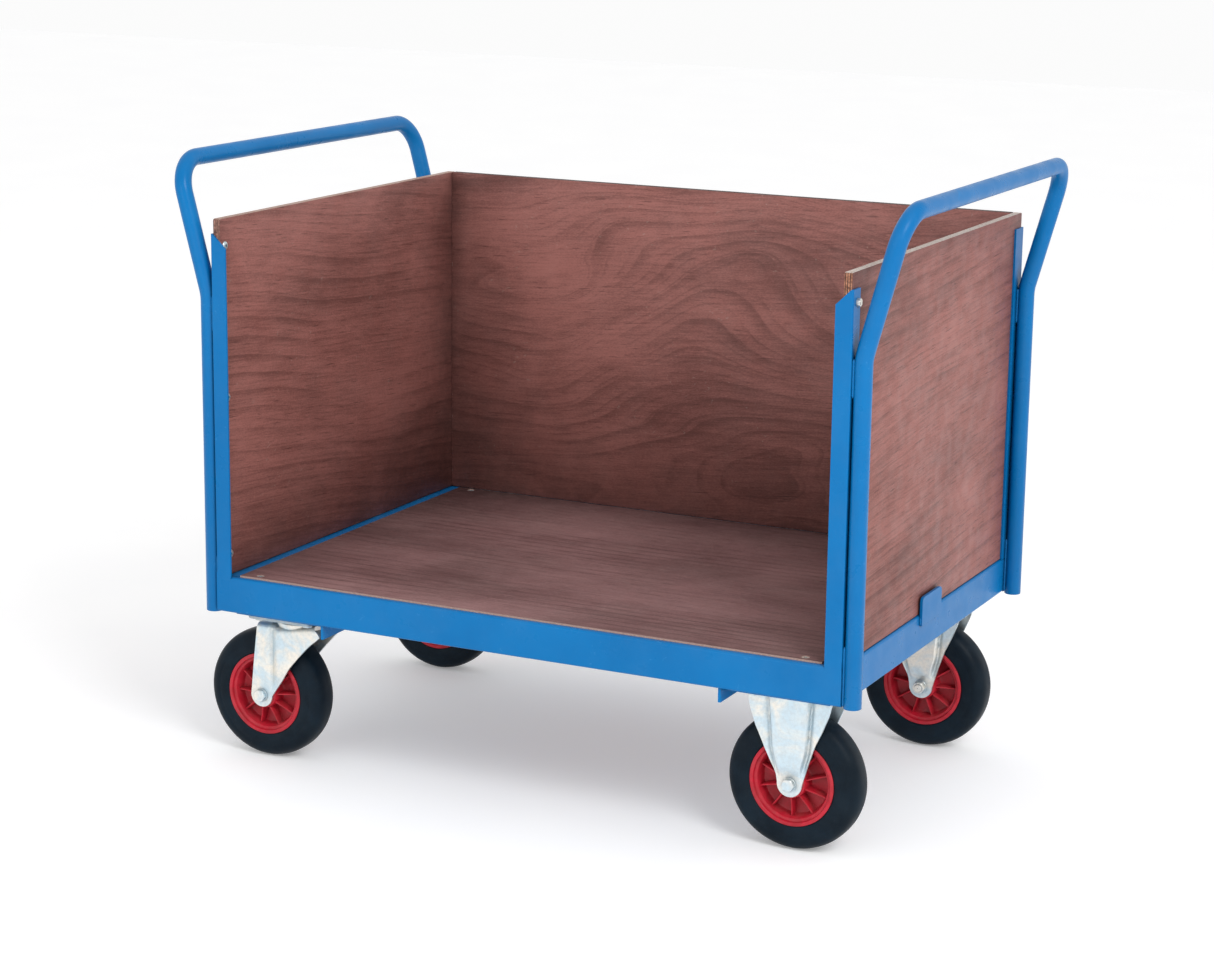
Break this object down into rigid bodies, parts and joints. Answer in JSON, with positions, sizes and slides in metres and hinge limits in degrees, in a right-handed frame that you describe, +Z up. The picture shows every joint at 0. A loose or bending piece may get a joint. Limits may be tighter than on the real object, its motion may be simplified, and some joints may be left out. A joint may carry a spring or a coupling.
{
  "type": "three-sided platform truck",
  "caption": "Steel-framed platform truck with a plywood deck, plywood panels at both ends and the back, an open long side, tubular end handles, and fixed and swivel castors.",
  "frame": {"origin": "on the ground under the centre of the truck's plan outline", "axes": "+X along the length towards the fixed castors, +Y towards the closed back panel, +Z up"},
  "size_m": [1.154, 0.7, 0.9225],
  "materials": {
    "blue_paint": "satin",
    "deck_plywood": "satin",
    "panel_plywood": "satin",
    "zinc_plate": "satin",
    "bearing_steel": "polished",
    "red_plastic": "gloss",
    "rubber_tyre": "matte"
  },
  "bodies": {
    "swivel_fork_front": {"axle_bolt_front_left": "zinc_plate", "axle_nut_front_left": "zinc_plate", "axle_sleeve_front_left": "bearing_steel", "swivel_fork_front_left": "zinc_plate"},
    "truck_frame": {"axle_bolt_front_right": "zinc_plate", "axle_bolt_rear_right": "zinc_plate", "axle_nut_front_right": "zinc_plate", "axle_nut_rear_right": "zinc_plate", "axle_sleeve_front_right": "bearing_steel", "axle_sleeve_rear_right": "bearing_steel", "back_panel": "panel_plywood", "back_screws": "zinc_plate", "castor_bolts": "zinc_plate", "castor_nuts": "zinc_plate", "castor_pads": "blue_paint", "cross_member_left": "blue_paint", "cross_member_right": "blue_paint", "deck_board": "deck_plywood", "deck_screws": "zinc_plate", "end_panel_left": "panel_plywood", "end_panel_right": "panel_plywood", "end_rail_left": "blue_paint", "end_rail_right": "blue_paint", "fixed_bracket_front_right": "zinc_plate", "fixed_bracket_rear_right": "zinc_plate", "front_rail": "blue_paint", "handle_left": "blue_paint", "handle_right": "blue_paint", "king_pin_front_left": "zinc_plate", "king_pin_rear_left": "zinc_plate", "panel_nuts": "zinc_plate", "panel_screws": "zinc_plate", "panel_tab_left": "blue_paint", "panel_tab_right": "blue_paint", "post_front_left": "blue_paint", "post_front_right": "blue_paint", "post_rear_left": "blue_paint", "post_rear_right": "blue_paint", "rear_rail": "blue_paint", "swivel_balls_front_left": "bearing_steel", "swivel_balls_rear_left": "bearing_steel", "swivel_plate_front_left": "zinc_plate", "swivel_plate_rear_left": "zinc_plate"},
    "swivel_fork_rear": {"axle_bolt_rear_left": "zinc_plate", "axle_nut_rear_left": "zinc_plate", "axle_sleeve_rear_left": "bearing_steel", "swivel_fork_rear_left": "zinc_plate"},
    "wheel_front_left": {"roller_bearing_front_left": "bearing_steel", "tyre_front_left": "rubber_tyre", "wheel_centre_front_left": "red_plastic"},
    "wheel_front_right": {"roller_bearing_front_right": "bearing_steel", "tyre_front_right": "rubber_tyre", "wheel_centre_front_right": "red_plastic"},
    "wheel_rear_left": {"roller_bearing_rear_left": "bearing_steel", "tyre_rear_left": "rubber_tyre", "wheel_centre_rear_left": "red_plastic"},
    "wheel_rear_right": {"roller_bearing_rear_right": "bearing_steel", "tyre_rear_right": "rubber_tyre", "wheel_centre_rear_right": "red_plastic"}
  },
  "joints": [
    {"name": "swivel_front", "type": "hinge", "parent": "truck_frame", "child": "swivel_fork_front", "pos_m": [-0.406, -0.262, 0.222], "axis": [0, 0, 1], "continuous": true},
    {"name": "wheel_spin_front_left", "type": "hinge", "parent": "swivel_fork_front", "child": "wheel_front_left", "pos_m": [-0.461, -0.262, 0.1], "axis": [0, 1, 0], "continuous": true},
    {"name": "wheel_spin_front_right", "type": "hinge", "parent": "truck_frame", "child": "wheel_front_right", "pos_m": [0.406, -0.262, 0.1], "axis": [0, 1, 0], "continuous": true},
    {"name": "swivel_rear", "type": "hinge", "parent": "truck_frame", "child": "swivel_fork_rear", "pos_m": [-0.406, 0.262, 0.222], "axis": [0, 0, 1], "continuous": true},
    {"name": "wheel_spin_rear_left", "type": "hinge", "parent": "swivel_fork_rear", "child": "wheel_rear_left", "pos_m": [-0.461, 0.262, 0.1], "axis": [0, 1, 0], "continuous": true},
    {"name": "wheel_spin_rear_right", "type": "hinge", "parent": "truck_frame", "child": "wheel_rear_right", "pos_m": [0.406, 0.262, 0.1], "axis": [0, 1, 0], "continuous": true}
  ]
}
